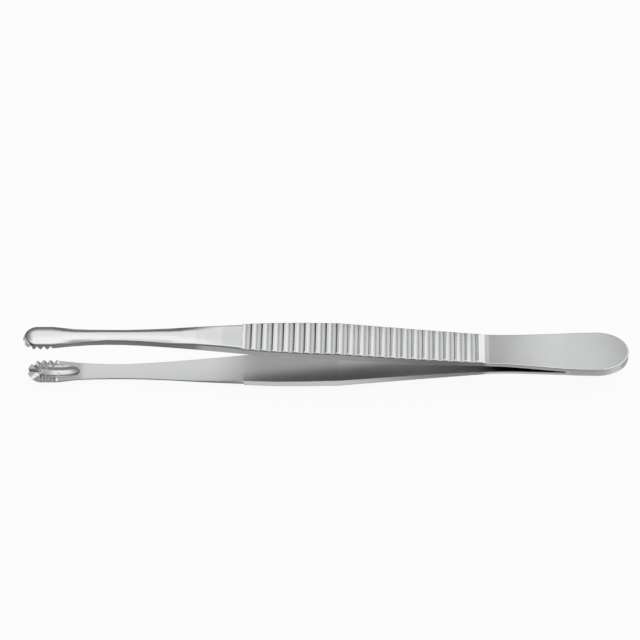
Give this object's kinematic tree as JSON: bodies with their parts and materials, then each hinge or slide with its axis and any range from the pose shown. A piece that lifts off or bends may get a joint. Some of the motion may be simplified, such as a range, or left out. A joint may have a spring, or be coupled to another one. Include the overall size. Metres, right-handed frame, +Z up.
{
  "type": "thumb forceps",
  "caption": "Spring steel thumb forceps that hold tissue between cupped, star-toothed jaws, with a cross-fluted grip and a flat round-ended butt.",
  "frame": {"origin": "middle of the length and width, on the surface that the lower arm lies on", "axes": "+X from the jaws to the butt, +Y across the arms, +Z up, the way the jaws open"},
  "size_m": [0.15, 0.0122, 0.0159],
  "materials": {
    "steel": "satin, brushed along the arms"
  },
  "bodies": {
    "root": {"upper_arm": "steel", "lower_arm": "steel", "butt_weld": "steel"}
  },
  "joints": []
}
